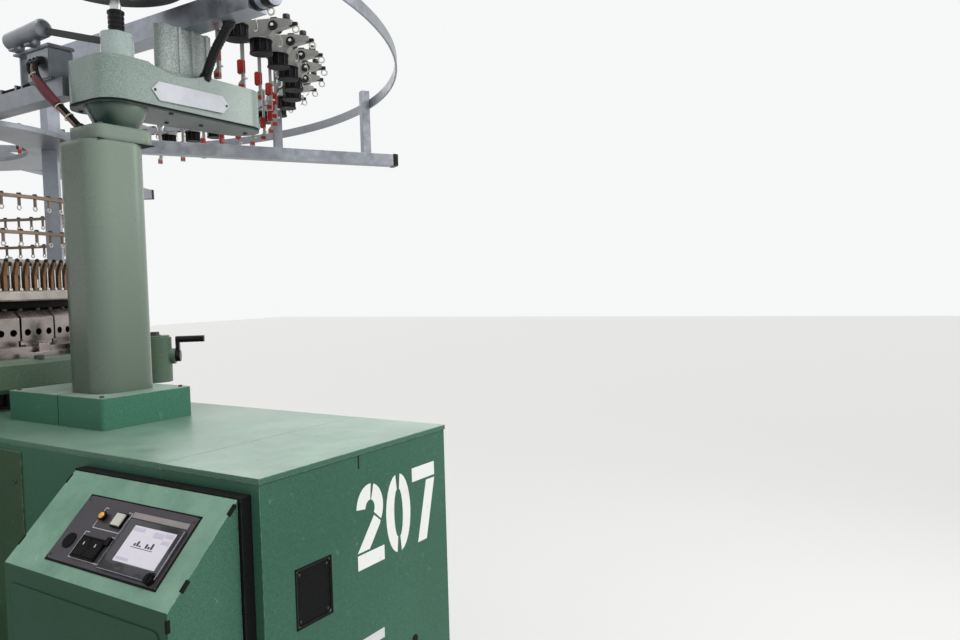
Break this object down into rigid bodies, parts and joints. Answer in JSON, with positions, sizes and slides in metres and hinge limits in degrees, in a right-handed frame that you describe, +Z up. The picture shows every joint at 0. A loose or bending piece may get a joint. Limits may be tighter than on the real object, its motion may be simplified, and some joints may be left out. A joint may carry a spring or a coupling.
{
  "type": "circular knitting machine",
  "caption": "Large-diameter circular knitting machine with guarded take-down, drive housing, control cabinet with sloping console, column and ring frame of yarn feeders",
  "frame": {"origin": "Axis of the needle cylinder at floor level, under the centre foot of the base", "axes": "+X from the needle cylinder to the control cabinet, -Y to the operator's side with the console, +Z up"},
  "size_m": [3.494, 3.0858, 2.29],
  "materials": {
    "green_paint": "hammered enamel, dusty",
    "green_cover": "enamel with dust",
    "olive_paint": "enamel",
    "black_paint": "satin",
    "dark_casting": "oiled",
    "galvanised_steel": "zinc plated",
    "machined_steel": "ground",
    "cam_metal": "machined",
    "bronze": "worn",
    "roller_rubber": "grooved",
    "black_plastic": "matte",
    "beige_plastic": "gloss",
    "white_plastic": "gloss",
    "red_plastic": "gloss",
    "yellow_plate": "satin",
    "bezel_grey": "satin",
    "display_grey": "satin",
    "smoked_window": "gloss"
  },
  "bodies": {
    "machine_frame": {"levelling_feet": "dark_casting", "base_frame": "dark_casting", "bed_ring": "green_paint", "drive_housing": "green_paint", "control_cabinet": "green_paint", "left_top_cover": "green_cover", "right_top_cover": "green_cover", "side_panel": "olive_paint", "console_collar": "black_paint", "console_box": "green_cover", "console_front_panel": "green_cover", "console_bezel": "bezel_grey", "display": "display_grey", "switch_block": "black_plastic", "main_switch_plate": "yellow_plate", "column_base_cover": "green_paint", "main_column": "green_paint", "column_adapter": "green_paint", "top_arm": "green_paint", "top_arm_cover": "green_paint", "shaft_sleeve": "black_plastic", "beam_bracket": "green_paint", "cross_beam": "galvanised_steel", "hub_ring": "galvanised_steel", "radial_beams": "galvanised_steel", "ring_posts": "galvanised_steel", "outer_ring": "galvanised_steel", "feeder_ring": "galvanised_steel", "feeder_bodies": "beige_plastic", "feeder_wheels": "black_plastic", "dial_carrier": "machined_steel", "dial_cam_ring": "machined_steel", "yarn_guides": "bronze", "stud_rings": "bronze", "cam_boxes": "cam_metal", "cam_ring": "cam_metal", "head_brackets": "green_paint", "crank_gearcase": "green_paint", "guard_frame": "black_paint", "guard_shoulder": "green_paint", "guard_windows": "smoked_window", "guard_rear_panel": "green_paint"},
    "cylinder": {"needle_cylinder": "machined_steel", "cylinder_gear": "dark_casting", "takedown_frame": "dark_casting"},
    "takedown_roller_front": {"takedown_roller_a": "roller_rubber"},
    "takedown_roller_rear": {"takedown_roller_b": "roller_rubber"},
    "dial": {"dial": "machined_steel"},
    "feed_pulley": {"yarn_feed_pulley": "machined_steel"},
    "crank": {"hand_crank": "black_plastic"},
    "front_door_near_console": {"front_door_a": "green_paint"},
    "front_door_left": {"front_door_b": "green_paint"},
    "rear_door_near_housing": {"rear_door_a": "green_paint"},
    "rear_door_left": {"rear_door_b": "green_paint"},
    "start_button": {"start_button": "white_plastic"},
    "rocker_left": {"rocker_left": "black_plastic"},
    "rocker_right": {"rocker_right": "black_plastic"},
    "selector_knob": {"selector_knob": "black_plastic"},
    "main_switch": {"main_switch": "red_plastic"}
  },
  "joints": [
    {"name": "cylinder_spin", "type": "hinge", "parent": "machine_frame", "child": "cylinder", "pos_m": [0, 0, 0.2], "axis": [0, 0, 1], "continuous": true},
    {"name": "dial_spin", "type": "hinge", "parent": "machine_frame", "child": "dial", "pos_m": [0, 0, 1.47], "axis": [0, 0, 1], "continuous": true},
    {"name": "front_roller_spin", "type": "hinge", "parent": "cylinder", "child": "takedown_roller_front", "pos_m": [0, -0.0335, 0.7], "axis": [1, 0, 0], "continuous": true},
    {"name": "rear_roller_spin", "type": "hinge", "parent": "cylinder", "child": "takedown_roller_rear", "pos_m": [0, 0.0335, 0.7], "axis": [1, 0, 0], "continuous": true},
    {"name": "feed_pulley_spin", "type": "hinge", "parent": "machine_frame", "child": "feed_pulley", "pos_m": [1.05, 0.045, 2.2], "axis": [0, 0, 1], "continuous": true},
    {"name": "crank_spin", "type": "hinge", "parent": "machine_frame", "child": "crank", "pos_m": [0.55129, 0.52315, 1.284], "axis": [0.7254, 0.6884, 0], "continuous": true},
    {"name": "front_door_a_hinge", "type": "hinge", "parent": "machine_frame", "child": "front_door_near_console", "pos_m": [0.92607, -0.30627, 0.42], "axis": [0, 0, 1], "range_deg": [0, 90]},
    {"name": "front_door_b_hinge", "type": "hinge", "parent": "machine_frame", "child": "front_door_left", "pos_m": [-0.16099, -0.96202, 0.42], "axis": [0, 0, -1], "range_deg": [0, 90]},
    {"name": "rear_door_a_hinge", "type": "hinge", "parent": "machine_frame", "child": "rear_door_near_housing", "pos_m": [0.92607, 0.30627, 0.42], "axis": [0, 0, -1], "range_deg": [0, 90]},
    {"name": "rear_door_b_hinge", "type": "hinge", "parent": "machine_frame", "child": "rear_door_left", "pos_m": [-0.16099, 0.96202, 0.42], "axis": [0, 0, 1], "range_deg": [0, 90]},
    {"name": "start_button_press", "type": "slide", "parent": "machine_frame", "child": "start_button", "axis": [0, 0.7033, -0.7109], "range_m": [0, 0.002], "stiffness_N_per_m": 400},
    {"name": "rocker_left_tilt", "type": "hinge", "parent": "machine_frame", "child": "rocker_left", "pos_m": [1.538, -0.38662, 1.06504], "axis": [1, 0, 0], "range_deg": [-8, 8], "stiffness_Nm_per_rad": 0.05},
    {"name": "rocker_right_tilt", "type": "hinge", "parent": "machine_frame", "child": "rocker_right", "pos_m": [1.571, -0.38662, 1.06504], "axis": [1, 0, 0], "range_deg": [-8, 8], "stiffness_Nm_per_rad": 0.05},
    {"name": "selector_turn", "type": "hinge", "parent": "machine_frame", "child": "selector_knob", "pos_m": [1.744, -0.40218, 1.05021], "axis": [0, -0.7033, 0.7109], "range_deg": [0, 90]},
    {"name": "main_switch_turn", "type": "hinge", "parent": "machine_frame", "child": "main_switch", "pos_m": [1.584, -0.434, 0.7], "axis": [0, -1, 0], "range_deg": [0, 90]}
  ],
  "couplings": [
    {"joint": "dial_spin", "follows": "cylinder_spin", "ratio": 1},
    {"joint": "front_roller_spin", "follows": "cylinder_spin", "ratio": -2},
    {"joint": "rear_roller_spin", "follows": "cylinder_spin", "ratio": 2},
    {"joint": "feed_pulley_spin", "follows": "cylinder_spin", "ratio": 5}
  ]
}
